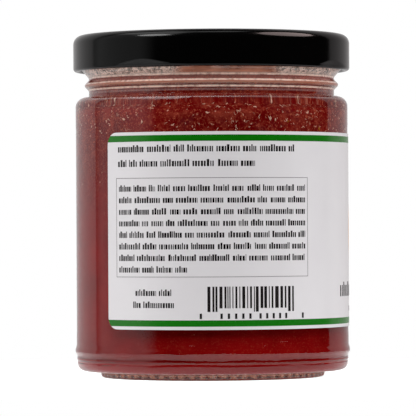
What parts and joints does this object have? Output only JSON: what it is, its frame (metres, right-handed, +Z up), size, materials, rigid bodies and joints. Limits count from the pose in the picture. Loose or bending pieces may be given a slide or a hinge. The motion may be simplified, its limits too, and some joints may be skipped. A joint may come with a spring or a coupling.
{
  "type": "jam jar",
  "caption": "Straight-sided round glass jar filled with red berry jam, shut by a black metal twist-off lid, with a wrap-round white paper label edged in green.",
  "frame": {"origin": "centre of the bearing ring that the jar stands on, at the lowest point", "axes": "+Z up along the jar's axis; the label's panel of small print faces -Y, which is the side that the picture shows"},
  "size_m": [0.0732, 0.0732, 0.0903],
  "materials": {
    "glass": "clear flint glass, fire polished",
    "lid_lacquer": "glossy black lacquer on tinplate",
    "jam": "wet set jam, dark red",
    "label_paper": "coated white label paper, satin"
  },
  "bodies": {
    "root": {"glass_jar": "glass", "lid": "lid_lacquer", "jam": "jam", "label": "label_paper"}
  },
  "joints": []
}
